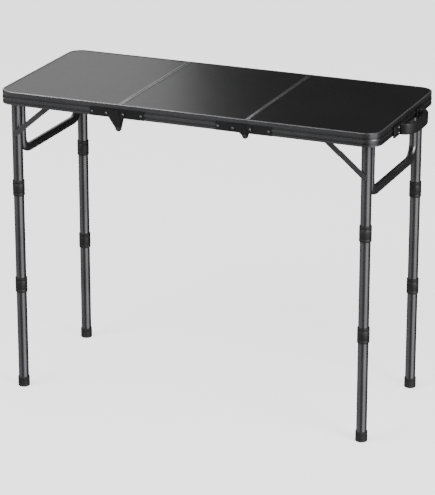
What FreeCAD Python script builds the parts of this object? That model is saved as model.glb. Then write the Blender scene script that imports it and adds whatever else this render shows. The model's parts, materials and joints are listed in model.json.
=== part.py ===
import FreeCAD, Part
import math
import os
import Sketcher

# Folding camp kitchen table: three hinged panels on two folding leg pairs.
# Frame: origin on the floor under the middle of the whole length, handle included.
# X runs along the top to the handle, Y to the back and Z up.
# Expressions below count x from the middle of the top; place() takes off the origin's offset.

doc = FreeCAD.newDocument("CampKitchenTable")
sheet = doc.addObject("Spreadsheet::Sheet", "Sizes")

SIZES = {
    # table top
    "panel_length": 300, "top_depth": 397, "table_height": 716, "seam_gap": 0.3,
    # edge rail profile, measured down from the top and in from the outer face
    "rail_height": 30, "rail_width": 11, "lip_width": 4.5, "seat_drop": 4.4,
    "band_drop": 9.5, "bead_top": 14, "bead_bottom": 20.5, "bead_slope": 2, "foot_top": 25,
    "groove_depth": 1.6, "rail_wall": 1.6, "band_inset": 0.5, "corner_radius": 35,
    "seam_rail_width": 10, "board_drop": 0.8, "board_gap": 0.1,
    # legs
    "tube_radius": 11.9, "tube_wall": 1.4, "leg_inset": 33.4, "leg_y": 168.9,
    "pivot_drop": 17.4, "leg_top": 4.5, "collar_gap": 0.5, "first_collar_top": 502.6,
    "second_collar_top": 269.2, "collar_height": 36.6, "collar_radius": 13.8, "collar_cap": 4,
    "foot_height": 23.9, "foot_floor": 3, "foot_radius": 13.6, "stud_radius": 8, "stud_length": 16,
    "stud_root": 2, "stud_gap": 0.05, "insert_length": 22, "leg_plug": 14,
    # cross tube
    "cross_radius": 9.7, "cross_bore": 8.3, "cross_offset": 23, "cross_drop": 150,
    "cross_bend": 34, "cross_top": 22, "cross_rivet_drop": 64.5,
    # knee braces
    "pin_radius": 2.5, "pin_gap": 0.05, "press_gap": 0.02, "pin_tail": 0.2,
    "head_radius": 3, "head_thick": 1.2,
    "brace_reach": 100.6, "brace_drop": 85.5, "upper_link": 58.5, "lower_link": 73.6,
    "link_half": 6, "link_thick": 1.8, "lower_link_y": 181.2, "upper_link_y": 183.4,
    # side hinges
    "cover_thick": 1, "lug_thick": 1.6, "leaf_gap": 0.1, "lug_space": 0.2, "leaf_top": 9.5,
    "left_leaf": 70, "right_leaf": 60, "left_near": 29, "left_far": 65, "right_near": 10.5,
    "right_far": 52.5, "lug_radius": 7, "lug_side": 7, "lug_top": 11, "lug_seam": 0.8,
    "long_pivot": 52.5, "short_pivot": 34.5, "rivet_drop": 21, "rivet_head": 2.8, "boss_radius": 4.5,
    # carrying handle
    "handle_top": 9.5, "handle_height": 25, "handle_reach": 37, "band_thick": 8,
    "pad_half": 100, "arch_half": 67, "grip_half": 38, "pad_thick": 5, "handle_round": 10,
    "grip_step": 5, "arch_step": 13, "screw_rise": 6, "screw_reach": 6, "screw_head": 2.6,
    # how far a cutting shape runs past the surface it opens
    "overcut": 1,
}
ORIGIN_X = "handle_reach / 2"
SCRATCH_CELL = "D1"
TINY = 1e-9
for row, (alias, number) in enumerate(SIZES.items(), start=1):
    sheet.set(f"A{row}", alias)
    sheet.set(f"B{row}", str(number))
    sheet.setAlias(f"B{row}", alias)
doc.recompute()

SUBPARTS = []


def sized(text):
    """Put the sheet's name before every alias in an expression."""
    words = []
    for word in text.replace("(", " ( ").replace(")", " ) ").split():
        words.append("Sizes." + word if word in SIZES else word)
    return " ".join(words)


def value(text):
    """The number an expression stands for, worked out in a spare cell of the sheet."""
    sheet.set(SCRATCH_CELL, "=" + text)
    sheet.recompute()
    return float(sheet.get(SCRATCH_CELL))


def bind(item, name, text):
    item.setExpression(name, sized(text))


def place(item, spot=("0", "0", "0"), axis=None, angle=0):
    """Bind an object's position, with an optional fixed turn about an axis."""
    if axis is not None:
        turn = FreeCAD.Rotation(FreeCAD.Vector(*axis), angle)
        item.Placement = FreeCAD.Placement(FreeCAD.Vector(), turn)
    x, y, z = spot
    for letter, text in zip("xyz", (f"{x} - ( {ORIGIN_X} )", y, z)):
        bind(item, f"Placement.Base.{letter}", text)
    return item


def subpart(item, label):
    """Name a finished sub-part; its label is also its file's name."""
    item.Label = label
    SUBPARTS.append(item)
    return item


def box(length, width, height, spot):
    item = doc.addObject("Part::Box", "Block")
    for name, text in zip(("Length", "Width", "Height"), (length, width, height)):
        bind(item, name, text)
    return place(item, spot)


def cylinder(radius, length, spot, along="z"):
    """A cylinder that starts at spot and runs towards +along."""
    item = doc.addObject("Part::Cylinder", "Rod")
    bind(item, "Radius", radius)
    bind(item, "Height", length)
    turns = {"z": (None, 0), "y": ((1, 0, 0), -90), "x": ((0, 1, 0), 90)}
    axis, angle = turns[along]
    return place(item, spot, axis, angle)


def joined(items):
    if len(items) == 1:
        return items[0]
    item = doc.addObject("Part::MultiFuse", "Joined")
    item.Shapes = items
    return item


def group(items):
    """Separate solids that share one sub-part."""
    item = doc.addObject("Part::Compound", "Group")
    item.Links = items
    return item


def cut(base, tools):
    item = doc.addObject("Part::Cut", "Trimmed")
    item.Base = base
    item.Tool = joined(tools)
    return item


def upright(edge):
    size = edge.BoundBox
    return size.ZLength > size.XLength + size.YLength


def sketch_on(body, role, name):
    plane = next(f for f in body.Origin.OriginFeatures if f.Role == role)
    sketch = body.newObject("Sketcher::SketchObject", name)
    sketch.AttachmentSupport = [(plane, "")]
    sketch.MapMode = "FlatFace"
    return sketch


CROSSED_AXIS = {"DistanceX": -2, "DistanceY": -1}


def pin_point(sketch, line, corner, texts):
    """Fix one end of a sketch line by two bound distances from the sketch's origin."""
    for kind, text in zip(("DistanceX", "DistanceY"), texts):
        spot = value(text)
        if abs(spot) < TINY:
            sketch.addConstraint(Sketcher.Constraint("PointOnObject", line, corner, CROSSED_AXIS[kind]))
            continue
        index = sketch.addConstraint(Sketcher.Constraint(kind, -1, 1, line, corner, spot))
        bind(sketch, f"Constraints[{index}]", text)


def polygon(sketch, corners):
    """Closed outline of straight lines through corners given as pairs of expressions."""
    first = sketch.GeometryCount
    spots = [FreeCAD.Vector(value(a), value(b), 0) for a, b in corners]
    for index, spot in enumerate(spots):
        sketch.addGeometry(Part.LineSegment(spot, spots[(index + 1) % len(spots)]), False)
    for index in range(len(spots)):
        following = first + (index + 1) % len(spots)
        sketch.addConstraint(Sketcher.Constraint("Coincident", first + index, 2, following, 1))
    for index, corner in enumerate(corners):
        pin_point(sketch, first + index, 1, corner)


def padded(role, outlines, length, spot, name):
    """A body padded from an outline, and any hole in it, on an origin plane of its own."""
    body = doc.addObject("PartDesign::Body", name)
    sketch = sketch_on(body, role, name + "Outline")
    for corners in outlines:
        polygon(sketch, corners)
    pad = body.newObject("PartDesign::Pad", name + "Pad")
    pad.Profile = sketch
    bind(pad, "Length", length)
    sketch.Visibility = False
    return place(body, spot)


def rail_outlines(side):
    """Grooved hollow edge rail in the YZ plane; side is -1 for the front and 1 for the back."""
    def out(inset):
        return f"{side} * ( top_depth / 2 - ( {inset} ) )"

    def down(drop):
        return f"table_height - ( {drop} )"

    outside = [
        (out("band_inset + 1"), down("0")), (out("band_inset"), down("1")),
        (out("band_inset"), down("band_drop")), (out("groove_depth"), down("band_drop")),
        (out("groove_depth"), down("bead_top")), (out("band_inset"), down("bead_top")),
        (out("0"), down("bead_top + bead_slope")), (out("0"), down("bead_bottom - bead_slope")),
        (out("band_inset"), down("bead_bottom")), (out("groove_depth"), down("bead_bottom")),
        (out("groove_depth"), down("foot_top")), (out("band_inset"), down("foot_top")),
        (out("band_inset"), down("rail_height")), (out("rail_width"), down("rail_height")),
        (out("rail_width"), down("seat_drop")), (out("lip_width"), down("seat_drop")),
        (out("lip_width"), down("0")),
    ]
    inner_wall = out("rail_width - rail_wall")
    outer_wall = out("groove_depth + rail_wall")
    roof = down("seat_drop + rail_wall")
    ground = down("rail_height - rail_wall")
    chamber = [(outer_wall, roof), (outer_wall, ground), (inner_wall, ground), (inner_wall, roof)]
    return [outside, chamber]


def bent_rail(side, name):
    """The rail bent round one end of the top, swept along its outer edge."""
    body = doc.addObject("PartDesign::Body", name)
    profile = sketch_on(body, "YZ_Plane", name + "Profile")
    for corners in rail_outlines(-1):
        polygon(profile, corners)
    path = sketch_on(body, "XY_Plane", name + "Path")
    end = value(f"{side} * ( panel_length - seam_gap )")
    bend = value("corner_radius")
    edge = value("top_depth / 2")
    near = end - side * bend
    spots = [(0, -edge), (near, -edge), (end, bend - edge), (end, edge - bend), (near, edge), (0, edge)]
    points = [FreeCAD.Vector(a, b, 0) for a, b in spots]
    path.addGeometry(Part.LineSegment(points[0], points[1]), False)
    diagonal = bend * 0.5 ** 0.5
    front_mid = FreeCAD.Vector(near + side * diagonal, bend - edge - diagonal, 0)
    path.addGeometry(Part.Arc(points[1], front_mid, points[2]), False)
    path.addGeometry(Part.LineSegment(points[2], points[3]), False)
    back_mid = FreeCAD.Vector(near + side * diagonal, edge - bend + diagonal, 0)
    path.addGeometry(Part.Arc(points[3], back_mid, points[4]), False)
    path.addGeometry(Part.LineSegment(points[4], points[5]), False)
    near_text = f"{side} * ( panel_length - seam_gap - corner_radius )"
    end_text = f"{side} * ( panel_length - seam_gap )"
    pin_point(path, 0, 1, ("0", "-1 * top_depth / 2"))
    pin_point(path, 0, 2, (near_text, "-1 * top_depth / 2"))
    pin_point(path, 2, 1, (end_text, "corner_radius - top_depth / 2"))
    pin_point(path, 2, 2, (end_text, "top_depth / 2 - corner_radius"))
    pin_point(path, 4, 1, (near_text, "top_depth / 2"))
    pin_point(path, 4, 2, ("0", "top_depth / 2"))
    doc.recompute()
    pipe = body.newObject("PartDesign::AdditivePipe", name + "Pipe")
    pipe.Profile = profile
    pipe.Spine = path
    return place(body, (f"{side} * ( panel_length / 2 + seam_gap )", "0", "0"))


def seam_rail(start, side):
    """A cross rail beside a seam: a hollow web under the boards and a thin lip between them."""
    web_start = start if side > 0 else f"{start} - seam_rail_width"
    lip_start = start if side > 0 else f"{start} - lip_width"
    web_low = "table_height - rail_height"
    web = box("seam_rail_width", "top_depth - 2 * rail_width - board_gap", "rail_height - seat_drop",
              (web_start, "-1 * ( top_depth / 2 - rail_width - board_gap / 2 )", web_low))
    lip = box("lip_width", "top_depth - 2 * lip_width - board_gap", "seat_drop",
              (lip_start, "-1 * ( top_depth / 2 - lip_width - board_gap / 2 )", "table_height - seat_drop"))
    chamber = box("seam_rail_width - 2 * rail_wall", "top_depth", "rail_height - seat_drop - 2 * rail_wall",
                  (f"{web_start} + rail_wall", "-1 * top_depth / 2", f"{web_low} + rail_wall"))
    return joined([cut(web, [chamber]), lip])


def board(start, length):
    return box(length, "top_depth - 2 * lip_width - board_gap", "seat_drop - board_drop",
               (start, "-1 * ( top_depth / 2 - lip_width - board_gap / 2 )", "table_height - seat_drop"))


def end_board(side):
    """A board whose two outer corners are rounded to follow the bent rail's lip."""
    start = "panel_length / 2 + seam_gap + lip_width + board_gap"
    length = "panel_length - seam_gap - 2 * lip_width - 2 * board_gap"
    plain = board(start if side > 0 else f"-1 * ( {start} + {length} )", length)
    rounded = doc.addObject("Part::Fillet", "RoundedBoard")
    rounded.Base = plain
    doc.recompute()
    radius = value("corner_radius - lip_width")
    edges = []
    for index, edge in enumerate(plain.Shape.Edges, start=1):
        if upright(edge) and edge.CenterOfMass.x * side > value("panel_length"):
            edges.append((index, radius, radius))
    rounded.Edges = edges
    return rounded


def across(start, length, side):
    """Start of a rod that lies along Y between start and start + length, mirrored to one side."""
    return start if side > 0 else f"-1 * ( {start} + ( {length} ) )"


def pivot_pin(x, z, inner, side):
    """A rivet from inside the rail to a low head on its outer face."""
    shank = f"top_depth / 2 - ( {inner} )"
    rod = cylinder("pin_radius", shank, (x, across(inner, shank, side), z), "y")
    cap = cylinder("head_radius", "head_thick", (x, across("top_depth / 2", "head_thick", side), z), "y")
    return joined([rod, cap])


ENDS = {"left": -1, "right": 1}
SIDES = {"front": -1, "back": 1}
PIVOT_Z = "table_height - pivot_drop"
LEG_X = "1.5 * panel_length - leg_inset"
BRACE_X = "1.5 * panel_length - leg_inset - brace_reach"


def pin_holes(side_of_top):
    """Holes through the front and back rail for the leg and brace pins of one end."""
    holes = []
    for side in SIDES.values():
        for spot in (LEG_X, BRACE_X):
            start = "top_depth / 2 - rail_width - overcut"
            span = "rail_width + 2 * overcut"
            mouth = (f"{side_of_top} * ( {spot} )", across(start, span, side), PIVOT_Z)
            holes.append(cylinder("pin_radius + press_gap", span, mouth, "y"))
    return holes


# Table top
for end, sign in ENDS.items():
    rail = bent_rail(sign, end.capitalize() + "Rail")
    subpart(cut(rail, pin_holes(sign)), f"{end}_bent_rail")
    subpart(end_board(sign), f"{end}_board")
    outer_start = f"{sign} * ( panel_length / 2 + seam_gap )"
    centre_start = f"{sign} * ( panel_length / 2 - seam_gap )"
    subpart(seam_rail(outer_start, sign), f"{end}_seam_rail")
    subpart(seam_rail(centre_start, -sign), f"centre_{end}_seam_rail")
for side_name, side in SIDES.items():
    centre_rail = padded("YZ_Plane", rail_outlines(side), "panel_length - 2 * seam_gap",
                         ("seam_gap - panel_length / 2", "0", "0"), "Centre" + side_name.capitalize())
    subpart(centre_rail, f"centre_{side_name}_rail")
subpart(board("seam_gap + lip_width + board_gap - panel_length / 2",
              "panel_length - 2 * ( seam_gap + lip_width + board_gap )"), "centre_board")


LEAVES = {-1: "left", 1: "right"}


def lug_layer(toward):
    """Where a leaf's lug starts, out from the middle: left lugs lie outside right lugs."""
    first = "top_depth / 2 + 2 * leaf_gap + cover_thick"
    return first if toward > 0 else first + " + lug_thick + lug_space"


def leaf(seam, toward, pivot, side):
    """A hinge leaf: a cover plate over the rail's grooves and a tapered lug down to the pin.

    toward is 1 for the leaf on the right of the seam and -1 for the one on its left.
    """
    name = LEAVES[toward]
    cover_y = "top_depth / 2 + leaf_gap"
    length = f"{name}_leaf - seam_gap"
    start = f"{seam} + seam_gap" if toward > 0 else f"{seam} - {name}_leaf"
    cover = box(length, "cover_thick", "rail_height - leaf_top",
                (start, across(cover_y, "cover_thick", side), "table_height - rail_height"))
    low = f"table_height - {pivot}"
    high = "table_height - lug_top"
    layer = lug_layer(toward)
    corners = [
        (f"{seam} + {toward} * ( {name}_near + lug_side )", high),
        (f"{seam} + {toward} * lug_seam", high),
        (f"{seam} - {toward} * lug_radius", low),
        (f"{seam} + {toward} * lug_radius", low),
    ]
    lug = padded("XZ_Plane", [corners], "lug_thick", ("0", f"-1 * ( {layer} )", "0"), "Lug")
    if side > 0:
        bind(lug, "Placement.Base.y", f"{layer} + lug_thick")
    tip = cylinder("lug_radius", "lug_thick", (seam, across(layer, "lug_thick", side), low), "y")
    boss_span = f"{layer} + lug_thick - ( {cover_y} )"
    boss = cylinder("boss_radius", boss_span,
                    (f"{seam} + {toward} * {name}_near", across(cover_y, boss_span, side),
                     "table_height - rivet_drop"), "y")
    bore = cylinder("pin_radius + pin_gap", "lug_thick + 2 * overcut",
                    (seam, across(f"{layer} - overcut", "lug_thick + 2 * overcut", side), low), "y")
    return cut(joined([cover, lug, tip, boss]), [bore])


def leaf_rivets(seam, toward, side):
    """The low heads of a leaf's two rivets, one on its lug and one on its cover plate."""
    name = LEAVES[toward]
    heads = []
    for reach, face in ((f"{name}_near", lug_layer(toward) + " + lug_thick"),
                        (f"{name}_far", "top_depth / 2 + leaf_gap + cover_thick")):
        heads.append(cylinder("rivet_head", "head_thick",
                              (f"{seam} + {toward} * {reach}", across(face, "head_thick", side),
                               "table_height - rivet_drop"), "y"))
    return heads


# Side hinges: the left pair has long lugs, because the left panel folds last and lies outermost.
centre_rivets = []
for end, sign in ENDS.items():
    pivot = "long_pivot" if end == "left" else "short_pivot"
    seam = f"{sign} * panel_length / 2"
    subpart(group([leaf(seam, sign, pivot, side) for side in SIDES.values()]), f"{end}_hinge_outer_leaves")
    subpart(group([leaf(seam, -sign, pivot, side) for side in SIDES.values()]), f"{end}_hinge_centre_leaves")
    pins = []
    rivets = []
    for side in SIDES.values():
        span = "2 * lug_thick + lug_space"
        start = lug_layer(1)
        spot = (seam, across(start, span, side), f"table_height - {pivot}")
        cap_spot = (seam, across(f"{start} + {span}", "head_thick", side), spot[2])
        pins.append(joined([cylinder("pin_radius", span, spot, "y"),
                            cylinder("head_radius", "head_thick", cap_spot, "y")]))
        rivets += leaf_rivets(seam, sign, side)
        centre_rivets += leaf_rivets(seam, -sign, side)
    subpart(group(pins), f"{end}_hinge_pins")
    subpart(group(rivets), f"{end}_hinge_rivets")
subpart(group(centre_rivets), "centre_hinge_rivets")


def tube(low, high, x, y):
    outer = cylinder("tube_radius", f"{high} - ( {low} )", (x, y, low))
    inner = cylinder("tube_radius - tube_wall", f"{high} - ( {low} ) + 2 * overcut",
                     (x, y, f"{low} - overcut"))
    return cut(outer, [inner])


def upper_leg(x, side):
    """Upper leg tube, closed by a threaded insert whose mouth is open at the bottom."""
    y = f"{side} * leg_y"
    low = "first_collar_top + collar_gap"
    high = "table_height - pivot_drop + leg_top"
    wall = cylinder("tube_radius", f"{high} - ( {low} )", (x, y, low))
    hollow = cylinder("tube_radius - tube_wall", f"{high} - ( {low} ) - insert_length - leg_plug",
                      (x, y, f"{low} + insert_length"))
    mouth = cylinder("stud_radius", "insert_length + 2 * overcut", (x, y, f"{low} - overcut"))
    bores = []
    for drop in ("pivot_drop", "pivot_drop + brace_drop", "cross_rivet_drop"):
        start = f"{side} * leg_y - tube_radius - overcut"
        radius = "pin_radius + pin_gap" if drop == "pivot_drop" else "pin_radius + press_gap"
        bores.append(cylinder(radius, "2 * tube_radius + 2 * overcut",
                              (x, start, f"table_height - ( {drop} )"), "y"))
    return cut(wall, [hollow, mouth] + bores)


def cross_outline(x, radius):
    """The U: two arms, two quarter bends and a bar across the table."""
    arm_y = "leg_y - cross_offset"
    bar_z = "table_height - cross_drop"
    arm_low = f"{bar_z} + cross_bend"
    pieces = []
    for side in SIDES.values():
        pieces.append(cylinder(radius, f"table_height - cross_top - ( {arm_low} )",
                               (x, f"{side} * ( {arm_y} )", arm_low)))
        bend = doc.addObject("Part::Torus", "Bend")
        bind(bend, "Radius1", "cross_bend")
        bind(bend, "Radius2", radius)
        bend.Angle3 = 90
        upended = FreeCAD.Rotation(FreeCAD.Vector(0, 1, 0), 90)
        quarter = FreeCAD.Rotation(FreeCAD.Vector(0, 0, 1), 0 if side > 0 else -90)
        bend.Placement = FreeCAD.Placement(FreeCAD.Vector(), upended.multiply(quarter))
        pieces.append(place(bend, (x, f"{side} * ( {arm_y} - cross_bend )", arm_low)))
    pieces.append(cylinder(radius, f"2 * ( {arm_y} - cross_bend )",
                           (x, f"-1 * ( {arm_y} - cross_bend )", bar_z), "y"))
    return joined(pieces)


def cross_tube(x):
    holes = []
    for side in SIDES.values():
        span = "2 * cross_radius + 2 * overcut"
        start = across("leg_y - cross_offset - cross_radius - overcut", span, side)
        holes.append(cylinder("pin_radius + press_gap", span,
                              (x, start, "table_height - cross_rivet_drop"), "y"))
    return cut(cross_outline(x, "cross_radius"), [cross_outline(x, "cross_bore")] + holes)


def link(x, z, length, angle, layer, side, knee_pin):
    """A flat brace link: its pivot end at x, z, and its knee end length away at angle."""
    body = doc.addObject("Part::Box", "Strap")
    bind(body, "Length", length)
    bind(body, "Width", "link_thick")
    bind(body, "Height", "2 * link_half")
    turn = FreeCAD.Placement(FreeCAD.Vector(), FreeCAD.Rotation(FreeCAD.Vector(0, 1, 0), -angle))
    offset = FreeCAD.Placement(FreeCAD.Vector(0, 0, -value("link_half")), FreeCAD.Rotation())
    body.Placement = turn.multiply(offset)
    turned = body.Placement.Base
    place(body, (f"{x} + {turned.x}", across(layer, "link_thick", side), f"{z} + {turned.z}"))
    far = turn.Rotation.multVec(FreeCAD.Vector(value(length), 0, 0))
    ends = [(x, z), (f"{x} + {far.x}", f"{z} + {far.z}")]
    pieces = [body]
    for spot_x, spot_z in ends:
        pieces.append(cylinder("link_half", "link_thick",
                               (spot_x, across(layer, "link_thick", side), spot_z), "y"))
    bores = []
    for index, (spot_x, spot_z) in enumerate(ends):
        radius = "pin_radius + press_gap" if index == 1 and knee_pin else "pin_radius + pin_gap"
        span = "link_thick + 2 * overcut"
        start = across(f"{layer} - overcut", span, side)
        bores.append(cylinder(radius, span, (spot_x, start, spot_z), "y"))
    return cut(joined(pieces), bores)


# Folding legs. The two links lie in line between the panel pin and the leg pin.
BRACE_ANGLE = math.degrees(math.atan2(value("brace_drop"), value("brace_reach")))
for end, sign in ENDS.items():
    leg_x = f"{sign} * ( {LEG_X} )"
    brace_x = f"{sign} * ( {BRACE_X} )"
    leg_pin_z = "table_height - pivot_drop - brace_drop"
    panel_pins, leg_pins, knee_pins, upper_links, lower_links = [], [], [], [], []
    down_angle = -BRACE_ANGLE if sign > 0 else 180 + BRACE_ANGLE
    for side_name, side in SIDES.items():
        subpart(upper_leg(leg_x, side), f"{end}_{side_name}_upper_leg")
        panel_pins.append(pivot_pin(leg_x, PIVOT_Z, "leg_y - tube_radius - overcut", side))
        panel_pins.append(pivot_pin(brace_x, PIVOT_Z, "upper_link_y - pin_tail", side))
        upper_links.append(link(brace_x, PIVOT_Z, "upper_link", down_angle, "upper_link_y", side, True))
        lower_links.append(link(leg_x, leg_pin_z, "lower_link", down_angle + 180, "lower_link_y",
                                side, False))
        shank = "lower_link_y + link_thick - ( leg_y - tube_radius )"
        start = across("leg_y - tube_radius", shank, side)
        leg_pins.append(cylinder("pin_radius", shank, (leg_x, start, leg_pin_z), "y"))
        rivet = "cross_offset + cross_radius + tube_radius"
        rivet_start = across("leg_y - cross_offset - cross_radius", rivet, side)
        leg_pins.append(cylinder("pin_radius", rivet,
                                 (leg_x, rivet_start, "table_height - cross_rivet_drop"), "y"))
        turn = FreeCAD.Rotation(FreeCAD.Vector(0, 1, 0), -down_angle)
        knee = turn.multVec(FreeCAD.Vector(value("upper_link"), 0, 0))
        knee_spot = (f"{brace_x} + {knee.x}", across("upper_link_y", "link_thick", side),
                     f"{PIVOT_Z} + {knee.z}")
        knee_pins.append(cylinder("pin_radius", "link_thick", knee_spot, "y"))
    subpart(cross_tube(leg_x), f"{end}_cross_tube")
    subpart(group(panel_pins), f"{end}_panel_pins")
    subpart(group(leg_pins), f"{end}_leg_pins")
    subpart(group(upper_links), f"{end}_upper_brace_links")
    subpart(group(lower_links), f"{end}_lower_brace_links")
    subpart(group(knee_pins), f"{end}_knee_pins")


def collar(top, x, y):
    """A plastic sleeve over a tube's top end; the tube ends inside it."""
    low = f"{top} - collar_height"
    sleeve = cylinder("collar_radius", "collar_height", (x, y, low))
    seat = cylinder("tube_radius + press_gap", "collar_height - collar_cap", (x, y, low))
    return cut(sleeve, [seat])


def middle_section(x, y):
    """The section under the upper leg, with a closed socket for a stud at its lower end."""
    top = "first_collar_top - collar_cap"
    low = "second_collar_top + collar_gap"
    wall = cylinder("tube_radius", f"{top} - ( {low} )", (x, y, low))
    hollow = cylinder("tube_radius - tube_wall", f"{top} - ( {low} ) - insert_length + overcut",
                      (x, y, f"{low} + insert_length"))
    socket = cylinder("stud_radius + stud_gap", "insert_length + 2 * overcut", (x, y, f"{low} - overcut"))
    return cut(wall, [hollow, socket])


def studded_collar(x, y):
    """The lower collar, with the stud that screws into the section above it."""
    stud = cylinder("stud_radius", "stud_root + collar_gap + stud_length",
                    (x, y, "second_collar_top - stud_root"))
    return joined([collar("second_collar_top", x, y), stud])


def foot_cap(x, y):
    cap = cylinder("foot_radius", "foot_height", (x, y, "0"))
    cup = cylinder("tube_radius + press_gap", "foot_height", (x, y, "foot_floor"))
    return cut(cap, [cup])


# Lower legs: two sections, a collar on each, and a foot cap.
for end, sign in ENDS.items():
    x = f"{sign} * ( {LEG_X} )"
    for side_name, side in SIDES.items():
        name = f"{end}_{side_name}"
        y = f"{side} * leg_y"
        subpart(middle_section(x, y), f"{name}_middle_section")
        subpart(collar("first_collar_top", x, y), f"{name}_upper_collar")
        subpart(studded_collar(x, y), f"{name}_lower_collar")
        subpart(tube("foot_floor", "( second_collar_top - collar_cap )", x, y), f"{name}_lower_section")
        subpart(foot_cap(x, y), f"{name}_foot_cap")


# Carrying handle on the right end rail: one moulding, a flat band that arches out between two pads.
RAIL_END = "1.5 * panel_length"
half_outline = [
    (RAIL_END, "pad_half"), (f"{RAIL_END} + pad_thick", "pad_half"),
    (f"{RAIL_END} + pad_thick", "arch_half"), (f"{RAIL_END} + handle_reach", "grip_half"),
]
half_inside = [
    (f"{RAIL_END} + handle_reach - band_thick", "grip_half - grip_step"),
    (f"{RAIL_END} + pad_thick", "arch_half - arch_step"), (RAIL_END, "arch_half - arch_step"),
]
mirrored = [(a, f"-1 * ( {b} )") for a, b in reversed(half_outline)]
mirrored_inside = [(a, f"-1 * ( {b} )") for a, b in reversed(half_inside)]
band = padded("XY_Plane", [half_outline + mirrored + mirrored_inside + half_inside], "handle_height",
              ("0", "0", "table_height - handle_top - handle_height"), "HandleBand")
doc.recompute()
softened = doc.addObject("Part::Fillet", "SoftenedBand")
softened.Base = band
bends = []
for index, edge in enumerate(band.Shape.Edges, start=1):
    beyond_pads = edge.CenterOfMass.x > value(f"{RAIL_END} + pad_thick + overcut - {ORIGIN_X}")
    if upright(edge) and beyond_pads:
        bends.append((index, value("handle_round"), value("handle_round")))
softened.Edges = bends
subpart(softened, "handle_grip")
screws = []
for side in SIDES.values():
    for rise in (1, -1):
        spot = (f"{RAIL_END} + pad_thick", f"{side} * ( arch_half + screw_reach )",
                f"table_height - handle_top - handle_height / 2 + {rise} * screw_rise")
        screws.append(cylinder("screw_head", "head_thick", spot, "x"))
subpart(group(screws), "handle_screws")

sheet.clear(SCRATCH_CELL)
doc.recompute()
faults = [item.Label for item in doc.Objects if "Invalid" in item.State or "Error" in item.State]
for item in SUBPARTS:
    if item.Shape.isNull() or not item.Shape.isValid() or not item.Shape.Solids:
        faults.append(item.Label)
if faults:
    raise RuntimeError("not built: " + ", ".join(faults))
os.makedirs("parts", exist_ok=True)
for item in SUBPARTS:
    item.Shape.exportStep(f"parts/{item.Label}.step")
print(len(SUBPARTS), "sub-parts written")
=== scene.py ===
import json
import math

import bmesh
import bpy
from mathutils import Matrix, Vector


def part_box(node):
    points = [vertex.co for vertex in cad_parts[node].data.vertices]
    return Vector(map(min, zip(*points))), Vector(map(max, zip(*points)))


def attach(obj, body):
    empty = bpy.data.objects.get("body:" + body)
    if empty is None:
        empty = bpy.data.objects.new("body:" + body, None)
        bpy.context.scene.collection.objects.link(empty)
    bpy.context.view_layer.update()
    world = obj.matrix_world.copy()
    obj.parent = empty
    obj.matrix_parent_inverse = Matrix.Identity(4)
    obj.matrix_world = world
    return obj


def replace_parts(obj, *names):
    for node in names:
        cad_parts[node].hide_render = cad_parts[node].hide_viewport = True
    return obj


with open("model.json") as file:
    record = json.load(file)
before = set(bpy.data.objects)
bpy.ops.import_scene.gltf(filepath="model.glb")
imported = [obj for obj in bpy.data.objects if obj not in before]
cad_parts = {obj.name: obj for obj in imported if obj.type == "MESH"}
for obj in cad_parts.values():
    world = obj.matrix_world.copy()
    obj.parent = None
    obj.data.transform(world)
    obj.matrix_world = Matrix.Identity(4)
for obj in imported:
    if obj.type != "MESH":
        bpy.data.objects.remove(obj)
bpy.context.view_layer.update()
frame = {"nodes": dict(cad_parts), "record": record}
nodes = frame["nodes"]
ENDS = ("left", "right")
SIDES = ("front", "back")
WORLD_LIGHT = 0.5
WORLD_SEEN = 2.6
WORLD_MIRRORED = 0.04
FLOOR_GLOW = 1.6
STRIP_LEVEL = 1.2
LEFT_SHARE = 0.3
STRIP_FADE = 9


# ---------------------------------------------------------------- materials

def new_material(name):
    """A material with an empty node tree but for its output and main shader."""
    material = bpy.data.materials.new(name)
    material.use_nodes = True
    shader = material.node_tree.nodes["Principled BSDF"]
    return material, material.node_tree, shader


def noise(tree, scale, detail=4.0, stretch=(1, 1, 1)):
    """Noise in metres of object space; a stretch below 1 draws it out along that axis."""
    coords = tree.nodes.new("ShaderNodeTexCoord")
    mapping = tree.nodes.new("ShaderNodeMapping")
    mapping.inputs["Scale"].default_value = stretch
    texture = tree.nodes.new("ShaderNodeTexNoise")
    texture.inputs["Scale"].default_value = scale
    texture.inputs["Detail"].default_value = detail
    tree.links.new(coords.outputs["Object"], mapping.inputs["Vector"])
    tree.links.new(mapping.outputs["Vector"], texture.inputs["Vector"])
    return texture.outputs["Fac"]


def map_value(tree, source, from_low, from_high, low, high):
    node = tree.nodes.new("ShaderNodeMapRange")
    limits = {"From Min": from_low, "From Max": from_high, "To Min": low, "To Max": high}
    for socket, limit in limits.items():
        node.inputs[socket].default_value = limit
    tree.links.new(source, node.inputs["Value"])
    return node.outputs["Result"]


def spread(tree, source, low, high):
    """Map a 0.3 to 0.7 noise value onto low to high."""
    return map_value(tree, source, 0.3, 0.7, low, high)


def blend_colour(tree, factor, first, second):
    node = tree.nodes.new("ShaderNodeMix")
    node.data_type = "RGBA"
    tree.links.new(factor, node.inputs["Factor"])
    for socket, colour in (("A", first), ("B", second)):
        target = next(s for s in node.inputs if s.name == socket and s.type == "RGBA")
        if hasattr(colour, "is_output"):
            tree.links.new(colour, target)
        else:
            target.default_value = (*colour, 1)
    return next(s for s in node.outputs if s.type == "RGBA")


def worn_edges(tree, radius):
    """1 on sharp edges, fading to 0 on flat ground."""
    bevel = tree.nodes.new("ShaderNodeBevel")
    bevel.samples = 4
    bevel.inputs["Radius"].default_value = radius
    geometry = tree.nodes.new("ShaderNodeNewGeometry")
    dot = tree.nodes.new("ShaderNodeVectorMath")
    dot.operation = "DOT_PRODUCT"
    tree.links.new(bevel.outputs["Normal"], dot.inputs[0])
    tree.links.new(geometry.outputs["Normal"], dot.inputs[1])
    return map_value(tree, dot.outputs["Value"], 0.98, 0.8, 0, 1)


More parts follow.
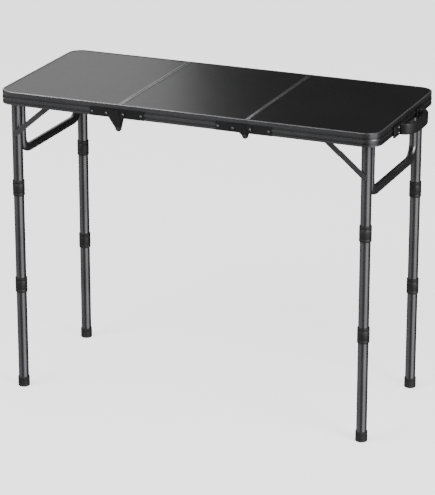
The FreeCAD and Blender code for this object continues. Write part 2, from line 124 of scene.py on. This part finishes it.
def groove_shade_mask(tree, reach):
    """1 on open surfaces, fading to 0 deep in a groove, the mask for painted shade in grooves; reach is how far
    off a wall still shades.
    """
    shade = tree.nodes.new("ShaderNodeAmbientOcclusion")
    shade.samples = 8
    shade.only_local = True
    shade.inputs["Distance"].default_value = reach
    return map_value(tree, shade.outputs["AO"], 0.45, 0.95, 0, 1)


def add_bump(tree, shader, height, strength, distance):
    node = tree.nodes.new("ShaderNodeBump")
    node.inputs["Strength"].default_value = strength
    node.inputs["Distance"].default_value = distance
    tree.links.new(height, node.inputs["Height"])
    tree.links.new(node.outputs["Normal"], shader.inputs["Normal"])


def grey(level):
    return (level, level, level * 1.04)


def facing_up(tree):
    """1 where the surface faces up at rest, and 0 on its sides: the mask for a painted highlight on top faces."""
    coords = tree.nodes.new("ShaderNodeTexCoord")
    parts = tree.nodes.new("ShaderNodeSeparateXYZ")
    tree.links.new(coords.outputs["Normal"], parts.inputs["Vector"])
    return map_value(tree, parts.outputs["Z"], 0.4, 0.9, 0, 1)


def coated_metal(name, level, rough, grain_scale, stretch=(1, 1, 1), metallic=0.6, wear=0.5, painted_top_highlight=0):
    """Dark coated aluminium: a fine grain, slow colour drift, and lighter worn edges; given a top level, it also
    gets a painted highlight on faces that face up and painted shade deep in grooves.
    """
    material, tree, shader = new_material(name)
    drift = spread(tree, noise(tree, 9, 3), 0, 1)
    body = blend_colour(tree, drift, grey(level * 0.86), grey(level * 1.14))
    edge = worn_edges(tree, 0.0006)
    patchy = tree.nodes.new("ShaderNodeMath")
    patchy.operation = "MULTIPLY"
    tree.links.new(edge, patchy.inputs[0])
    tree.links.new(spread(tree, noise(tree, 60, 3), wear * 0.3, wear), patchy.inputs[1])
    colour = blend_colour(tree, patchy.outputs["Value"], body, grey(min(level * 5, 0.5)))
    # Painted highlight: faces that face up are blended towards a light grey, standing in for light from above.
    if painted_top_highlight:
        colour = blend_colour(tree, facing_up(tree), colour, grey(painted_top_highlight))
        # Painted shade: deep in grooves the colour falls to a near-black grey.
        colour = blend_colour(tree, groove_shade_mask(tree, 0.006), grey(level * 0.12), colour)
    tree.links.new(colour, shader.inputs["Base Color"])
    shader.inputs["Metallic"].default_value = metallic
    grain = noise(tree, grain_scale, 2, stretch)
    tree.links.new(spread(tree, grain, rough - 0.06, rough + 0.07), shader.inputs["Roughness"])
    add_bump(tree, shader, grain, 0.08, 0.0001)
    return material


def moulded(name, level, rough, grain_scale, depth):
    """Moulded plastic or rubber with a fine pebbled skin, dusty in patches."""
    material, tree, shader = new_material(name)
    dust = spread(tree, noise(tree, 35, 4), 0, 1)
    body = blend_colour(tree, dust, grey(level * 0.8), grey(level * 1.35))
    edge = worn_edges(tree, 0.0008)
    softened = tree.nodes.new("ShaderNodeMath")
    softened.operation = "MULTIPLY"
    softened.inputs[1].default_value = 0.35
    tree.links.new(edge, softened.inputs[0])
    colour = blend_colour(tree, softened.outputs["Value"], body, grey(level * 4))
    tree.links.new(colour, shader.inputs["Base Color"])
    grain = noise(tree, grain_scale, 3)
    tree.links.new(spread(tree, grain, rough - 0.08, rough + 0.1), shader.inputs["Roughness"])
    add_bump(tree, shader, grain, 0.35, depth)
    return material


def turned_steel(name, dark, bright):
    """Turned rivet and screw heads with fine scratches."""
    material, tree, shader = new_material(name)
    scratch = noise(tree, 900, 2, (1, 0.2, 1))
    tone = blend_colour(tree, spread(tree, scratch, 0, 1), grey(dark), grey(bright))
    tree.links.new(tone, shader.inputs["Base Color"])
    shader.inputs["Metallic"].default_value = 1
    tree.links.new(spread(tree, scratch, 0.22, 0.4), shader.inputs["Roughness"])
    add_bump(tree, shader, scratch, 0.2, 0.0001)
    return material


def board_sheet(name):
    """Black anodised sheet: even and satin, with very fine brushing along the table."""
    material, tree, shader = new_material(name)
    drift = spread(tree, noise(tree, 5, 4), 0, 1)
    tone = blend_colour(tree, drift, grey(0.009), grey(0.013))
    tree.links.new(tone, shader.inputs["Base Color"])
    brushed = noise(tree, 1400, 2, (0.02, 1, 1))
    tree.links.new(spread(tree, brushed, 0.27, 0.33), shader.inputs["Roughness"])
    shader.inputs["Specular IOR Level"].default_value = 0.75
    add_bump(tree, shader, brushed, 0.05, 0.00005)
    return material


MATERIALS = {
    "board_sheet": board_sheet("BoardSheet"),
    # The rails get a painted highlight on their upward faces and painted shade deep in their grooves.
    "rail_coat": coated_metal("RailCoat", 0.12, 0.26, 700, (0.05, 1, 1), 0.8, 0.25, painted_top_highlight=0.34),
    "tube_coat": coated_metal("TubeCoat", 0.17, 0.24, 900, (1, 1, 0.05), 0.88, 0.2),
    "collar_plastic": moulded("CollarPlastic", 0.012, 0.5, 900, 0.0003),
    "grip_plastic": moulded("GripPlastic", 0.012, 0.45, 700, 0.0004),
    "foot_rubber": moulded("FootRubber", 0.014, 0.62, 600, 0.0005),
    "hinge_steel": coated_metal("HingeSteel", 0.035, 0.36, 800, metallic=0.7, wear=0.6),
    "link_steel": coated_metal("LinkSteel", 0.12, 0.32, 800, metallic=0.8, wear=0.5),
    "rivet_steel": turned_steel("RivetSteel", 0.16, 0.3),
}
SCREW_STEEL = turned_steel("ScrewSteel", 0.6, 0.85)
for entry in frame["record"]["subparts"]:
    thing = nodes[entry["node"]]
    for slot in thing.material_slots:
        slot.material = MATERIALS[entry["material_slot"]]


# ---------------------------------------------------------------- modelled pieces

def finished(name, mesh, body, slot, material=None):
    """Smooth, coloured object that rides on one body of the frame."""
    thing = bpy.data.objects.new(name, mesh)
    bpy.context.collection.objects.link(thing)
    mesh.materials.append(material or MATERIALS[slot])
    for face in mesh.polygons:
        face.use_smooth = True
    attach(thing, body)
    return thing


def lathed(name, profile, centre, direction, segments=40, ripple=None):
    """A closed turned solid: profile is (radius, distance along direction) from end to end."""
    mesh = bpy.data.meshes.new(name)
    form = bmesh.new()
    turn = Vector((0, 0, 1)).rotation_difference(Vector(direction)).to_matrix()
    rings = []
    for radius, along in profile:
        ring = []
        for step in range(segments):
            angle = 2 * math.pi * step / segments
            reach = radius + (ripple(angle, along) if ripple else 0)
            local = Vector((reach * math.cos(angle), reach * math.sin(angle), along))
            ring.append(form.verts.new(Vector(centre) + turn @ local))
        rings.append(ring)
    for lower, upper in zip(rings, rings[1:]):
        for step in range(segments):
            after = (step + 1) % segments
            form.faces.new((lower[step], lower[after], upper[after], upper[step]))
    form.faces.new(list(reversed(rings[0])))
    form.faces.new(rings[-1])
    form.to_mesh(mesh)
    form.free()
    return mesh


def rounded_profile(radius, length, edge, steps=4):
    """A straight cylinder's profile with both rims rounded."""
    low = [(radius - edge + edge * math.sin(a), edge - edge * math.cos(a))
           for a in (math.pi / 2 * i / steps for i in range(steps + 1))]
    high = [(r, length - along) for r, along in reversed(low)]
    return low + high


def islands(node):
    """Lowest and highest corners of each separate solid in a node."""
    form = bmesh.new()
    form.from_mesh(nodes[node].data)
    bmesh.ops.remove_doubles(form, verts=form.verts, dist=1e-6)
    left = set(form.verts)
    boxes = []
    while left:
        stack = [left.pop()]
        group = []
        while stack:
            vert = stack.pop()
            group.append(vert.co.copy())
            for edge in vert.link_edges:
                other = edge.other_vert(vert)
                if other in left:
                    left.remove(other)
                    stack.append(other)
        low = Vector([min(p[i] for p in group) for i in range(3)])
        high = Vector([max(p[i] for p in group) for i in range(3)])
        boxes.append((low, high))
    form.free()
    return sorted(boxes, key=lambda pair: tuple(pair[0]))


def dome_profile(radius, height):
    """A rivet head: a thin flange, then a low dome."""
    flange = height * 0.25
    points = [(radius * 0.98, 0), (radius, flange)]
    for step in range(1, 7):
        angle = math.pi / 2 * step / 7
        points.append((radius * 0.92 * math.cos(angle), flange + (height - flange) * math.sin(angle)))
    return points


def domed_heads(node, body, axis, material=None):
    """Swap a node's flat heads for domed ones of the same width and height."""
    heads = []
    for index, (low, high) in enumerate(islands(node)):
        middle = (low + high) / 2
        sign = 1 if axis == "x" or middle.y > 0 else -1
        direction = (1, 0, 0) if axis == "x" else (0, sign, 0)
        across = "xyz".index(axis)
        width = (high.z - low.z) / 2
        start = middle.copy()
        start[across] = low[across] if sign > 0 else high[across]
        name = f"{node}_head_{index}"
        mesh = lathed(name, dome_profile(width, high[across] - low[across]), start, direction, 24)
        heads.append(finished(name, mesh, body, "rivet_steel", material))
    for head in heads:
        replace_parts(head, node)


def collar(node, body, stud):
    """A moulded sleeve with rounded rims and two shallow grip rings, with a threaded stud if it has one."""
    low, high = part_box(node)
    radius = (high[0] - low[0]) / 2
    length = COLLAR_LENGTH
    centre = ((low[0] + high[0]) / 2, (low[1] + high[1]) / 2, low[2])
    profile = []
    for r, along in rounded_profile(radius, length, RIM):
        profile.append((r, along))
    rings = []
    for start in (0.18, 0.78):
        for offset, depth in ((0, 0), (0.015, 0.0006), (0.04, 0.0006), (0.055, 0)):
            rings.append((radius - depth, length * (start + offset)))
    half = len(profile) // 2
    profile = profile[:half] + rings + profile[half:]
    mesh = lathed(node + "_sleeve", profile, centre, (0, 0, 1), 64)
    sleeve = finished(node + "_sleeve", mesh, body, "collar_plastic")
    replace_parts(sleeve, node)
    if stud:
        pitch = 0.0022
        rise = high[2] - low[2] - length
        turns = int(rise / pitch)
        thread = []
        for index in range(turns * 2):
            thread.append((STUD_RADIUS - (0.0011 if index % 2 else 0), index * pitch / 2))
        thread.append((STUD_RADIUS - 0.0014, rise - 0.0001))
        top = (centre[0], centre[1], low[2] + length)
        mesh = lathed(node + "_stud", thread, top, (0, 0, 1), 32)
        screw = finished(node + "_stud", mesh, body, "rivet_steel", SCREW_STEEL)
        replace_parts(screw, node)


def foot_cap(node, body):
    """A rubber foot with a rounded sole and three shallow rings round its side."""
    low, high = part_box(node)
    radius = (high[0] - low[0]) / 2
    length = high[2] - low[2]
    centre = ((low[0] + high[0]) / 2, (low[1] + high[1]) / 2, low[2])
    profile = rounded_profile(radius, length, RIM)
    half = len(profile) // 2
    rings = []
    for ring in range(3):
        start = length * (0.25 + 0.17 * ring)
        rings += [(radius, start), (radius - 0.0007, start + 0.0006),
                  (radius - 0.0007, start + 0.0016), (radius, start + 0.0022)]
    profile = profile[:half] + rings + profile[half:]
    mesh = lathed(node + "_cap", profile, centre, (0, 0, 1), 64)
    cap = finished(node + "_cap", mesh, body, "foot_rubber")
    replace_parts(cap, node)


def prism(form, outline, seam, inward, y_low, y_high):
    """A closed bar along Y, with its outline given as (distance in from the seam, height)."""
    ends = []
    for y in (y_low, y_high):
        ends.append([form.verts.new((seam + inward * reach, y, z)) for reach, z in outline])
    for index in range(len(outline)):
        after = (index + 1) % len(outline)
        form.faces.new((ends[0][index], ends[0][after], ends[1][after], ends[1][index]))
    form.faces.new(ends[0])
    form.faces.new(ends[1])


def seam_rail(node, body, seam_is_high):
    """A seam's cross rail: a square web under the boards and a lip whose seam edge is rounded off."""
    low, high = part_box(node)
    seam = high[0] if seam_is_high else low[0]
    inward = -1 if seam_is_high else 1
    top = high[2]
    seat = top - SEAT_DROP
    width = high[0] - low[0]
    web = [(0, low[2]), (width, low[2]), (width, seat), (0, seat)]
    lip = [(0, seat), (LIP_WIDTH, seat), (LIP_WIDTH, top - SOFT_EDGE), (LIP_WIDTH - SOFT_EDGE, top)]
    for step in range(ROUND_STEPS + 1):
        angle = math.pi / 2 * step / ROUND_STEPS
        reach = SEAM_ROUND - SEAM_ROUND * math.sin(angle)
        lip.append((reach, top - SEAM_ROUND + SEAM_ROUND * math.cos(angle)))
    mesh = bpy.data.meshes.new(node + "_rounded")
    form = bmesh.new()
    prism(form, web, seam, inward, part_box("centre_front_rail")[1][1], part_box("centre_back_rail")[0][1])
    prism(form, lip, seam, inward, low[1], high[1])
    bmesh.ops.recalc_face_normals(form, faces=form.faces)
    form.to_mesh(mesh)
    form.free()
    piece = finished(node + "_rounded", mesh, body, "rail_coat")
    for face in mesh.polygons:
        face.use_smooth = abs(face.normal.z) > 0.05 and abs(face.normal.x) > 0.05
    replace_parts(piece, node)


def handle_band():
    """The handle's arched band, with finger grooves inside, and a flat pad at each foot."""
    low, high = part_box("handle_grip")
    pad = 0.005
    arch = 0.067
    reach = high[0] - low[0] - pad
    tall = high[2] - low[2]
    samples = 96
    corner = 0.0022
    mesh = bpy.data.meshes.new("HandleBand")
    form = bmesh.new()
    path = []
    for step in range(samples + 1):
        angle = -math.pi / 2 + math.pi * step / samples
        sine, cosine = math.sin(angle), max(math.cos(angle), 0)
        y = math.copysign(abs(sine) ** 0.8, sine) * arch
        path.append(Vector((low[0] + pad + reach * cosine ** 0.72, y, 0)))
    rings = []
    for step, point in enumerate(path):
        along = (path[min(step + 1, samples)] - path[max(step - 1, 0)]).normalized()
        inward = Vector((-along.y, along.x, 0))
        middle = max(0.0, 1 - (point.y / (arch * 0.72)) ** 4)
        groove = 0.5 - 0.5 * math.cos(2 * math.pi * 4 * point.y / (arch * 1.3) + math.pi)
        thick = 0.0075 + middle * 0.0035 * groove
        section = []
        for u, v, turn in ((0, 0, 2), (1, 0, 3), (1, 1, 0), (0, 1, 1)):
            for part in range(4):
                a = math.pi / 2 * (turn + part / 3)
                depth = (corner if u == 0 else thick - corner) + corner * math.cos(a)
                rise = (corner if v == 0 else tall - corner) + corner * math.sin(a)
                section.append(form.verts.new(point + inward * depth + Vector((0, 0, low[2] + rise))))
        rings.append(section)
    for first, second in zip(rings, rings[1:]):
        for index in range(len(first)):
            after = (index + 1) % len(first)
            form.faces.new((first[index], first[after], second[after], second[index]))
    form.faces.new(list(reversed(rings[0])))
    form.faces.new(rings[-1])
    for side in (-1, 1):
        block = bmesh.ops.create_cube(form, size=1)["verts"]
        span = high[1] - arch + 0.012
        bmesh.ops.scale(form, verts=block, vec=(pad, span, tall))
        centre = (low[0] + pad / 2, side * (high[1] - span / 2), (low[2] + high[2]) / 2)
        bmesh.ops.translate(form, verts=block, vec=centre)
        edges = list({edge for vert in block for edge in vert.link_edges})
        bmesh.ops.bevel(form, geom=edges, offset=0.0018, segments=3, affect="EDGES", profile=0.5)
    bmesh.ops.recalc_face_normals(form, faces=form.faces)
    form.to_mesh(mesh)
    form.free()
    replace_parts(finished("handle_band", mesh, "right_panel", "grip_plastic"), "handle_grip")


RIM = 0.0016
COLLAR_LENGTH = 0.0366
STUD_RADIUS = 0.008
SEAT_DROP = 0.0044
LIP_WIDTH = 0.0045
SOFT_EDGE = 0.0003
SEAM_ROUND = 0.0016
ROUND_STEPS = 8
for end in ENDS:
    seam_rail(f"{end}_seam_rail", f"{end}_panel", seam_is_high=end == "left")
    seam_rail(f"centre_{end}_seam_rail", "centre_panel", seam_is_high=end == "right")
    for side in SIDES:
        leg = f"{end}_{side}"
        collar(leg + "_upper_collar", leg + "_lower_leg", False)
        collar(leg + "_lower_collar", leg + "_foot_section", True)
        foot_cap(leg + "_foot_cap", leg + "_foot_section")
    domed_heads(end + "_hinge_rivets", end + "_panel", "y")
domed_heads("centre_hinge_rivets", "centre_panel", "y")
domed_heads("handle_screws", "right_panel", "x", SCREW_STEEL)
handle_band()


# ---------------------------------------------------------------- floor, light and camera

def combined(tree, operation, first, second):
    """A sum of two values, each a number or another node's output."""
    node = tree.nodes.new("ShaderNodeMath")
    node.operation = operation
    for socket, item in zip(node.inputs, (first, second)):
        if hasattr(item, "is_output"):
            tree.links.new(item, socket)
        else:
            socket.default_value = item
    return node.outputs["Value"]


def strip(tree, azimuth, centre, half_width, level):
    """A tall soft-edged strip light, level bright within half_width degrees of its centre."""
    offset = combined(tree, "SUBTRACT", azimuth, math.radians(centre))
    distance = combined(tree, "ABSOLUTE", offset, 0)
    inner = math.radians(half_width - STRIP_FADE)
    outer = math.radians(half_width + STRIP_FADE)
    return map_value(tree, distance, inner, outer, level, 0)


def strip_glow(tree, vector, sign):
    """Two tall strips either side of the camera, seen only in the mirror of a shiny surface."""
    flat = tree.nodes.new("ShaderNodeVectorMath")
    flat.operation = "MULTIPLY"
    flat.inputs[1].default_value = (sign, sign, 0)
    seen = tree.nodes.new("ShaderNodeVectorTransform")
    seen.vector_type = "VECTOR"
    seen.convert_from = "WORLD"
    seen.convert_to = "CAMERA"
    parts = tree.nodes.new("ShaderNodeSeparateXYZ")
    tree.links.new(vector, flat.inputs[0])
    tree.links.new(flat.outputs["Vector"], seen.inputs["Vector"])
    tree.links.new(seen.outputs["Vector"], parts.inputs["Vector"])
    towards = combined(tree, "MULTIPLY", parts.outputs["Z"], -1)
    azimuth = combined(tree, "ARCTAN2", parts.outputs["X"], towards)
    right = strip(tree, azimuth, 44, 30, STRIP_LEVEL)
    left = strip(tree, azimuth, -86, 42, STRIP_LEVEL * LEFT_SHARE)
    path = tree.nodes.new("ShaderNodeLightPath")
    return combined(tree, "MULTIPLY", combined(tree, "ADD", left, right), path.outputs["Is Glossy Ray"])


def stage_floor():
    mesh = bpy.data.meshes.new("Floor")
    half = 20
    mesh.from_pydata([(-half, -half, 0), (half, -half, 0), (half, half, 0), (-half, half, 0)], [], [(0, 1, 2, 3)])
    floor = bpy.data.objects.new("Floor", mesh)
    bpy.context.collection.objects.link(floor)
    material, tree, shader = new_material("PaleFloor")
    tone = blend_colour(tree, spread(tree, noise(tree, 2, 3), 0, 1), (0.86, 0.86, 0.86), (0.9, 0.9, 0.9))
    shader.inputs["Roughness"].default_value = 0.7
    shader.inputs["Emission Color"].default_value = (1, 1, 1, 1)
    path = tree.nodes.new("ShaderNodeLightPath")
    dimmed = blend_colour(tree, path.outputs["Is Glossy Ray"], tone, grey(0.03))
    tree.links.new(dimmed, shader.inputs["Base Color"])
    glow = map_value(tree, path.outputs["Is Camera Ray"], 0, 1, 0, FLOOR_GLOW)
    geometry = tree.nodes.new("ShaderNodeNewGeometry")
    mirrored = strip_glow(tree, geometry.outputs["Incoming"], -1)
    tree.links.new(combined(tree, "ADD", glow, mirrored), shader.inputs["Emission Strength"])
    mesh.materials.append(material)


def area_light(name, spot, target, width, height, watts):
    data = bpy.data.lights.new(name, "AREA")
    data.shape = "RECTANGLE"
    data.size = width
    data.size_y = height
    data.energy = watts
    light = bpy.data.objects.new(name, data)
    light.location = spot
    light.rotation_euler = (Vector(target) - Vector(spot)).to_track_quat("-Z", "Y").to_euler()
    light.visible_camera = False
    bpy.context.collection.objects.link(light)


def studio_world():
    """White to the camera, grey to what it lights, and near dark where a shiny surface mirrors it."""
    world = bpy.data.worlds.new("Studio")
    bpy.context.scene.world = world
    world.use_nodes = True
    tree = world.node_tree
    background = tree.nodes["Background"]
    background.inputs["Color"].default_value = (1, 1, 1, 1)
    path = tree.nodes.new("ShaderNodeLightPath")
    seen = map_value(tree, path.outputs["Is Camera Ray"], 0, 1, WORLD_LIGHT, WORLD_SEEN)
    mirrored = map_value(tree, path.outputs["Is Glossy Ray"], 0, 1, 0, WORLD_LIGHT - WORLD_MIRRORED)
    coords = tree.nodes.new("ShaderNodeTexCoord")
    strips = strip_glow(tree, coords.outputs["Generated"], 1)
    level = combined(tree, "ADD", combined(tree, "SUBTRACT", seen, mirrored), strips)
    tree.links.new(level, background.inputs["Strength"])


def camera():
    data = bpy.data.cameras.new("Camera")
    data.lens = 182.5
    data.sensor_width = 36
    holder = bpy.data.objects.new("Camera", data)
    holder.location = (2.0700, -4.9964, 2.2386)
    holder.rotation_euler = (math.radians(90 - 19.31), 0, math.radians(22.67))
    bpy.context.collection.objects.link(holder)
    bpy.context.scene.camera = holder


stage_floor()
studio_world()
area_light("Key", (-1.6, -2.2, 3.2), (0, 0, 0.5), 2.2, 1.6, 90)
area_light("Back", (-1.7, 1.9, 1.55), (-0.35, 0, 0.7), 1.5, 1.2, 5.5)
area_light("Fill", (2.6, -1.2, 1.8), (0, 0, 0.5), 1.2, 1.8, 60)
camera()
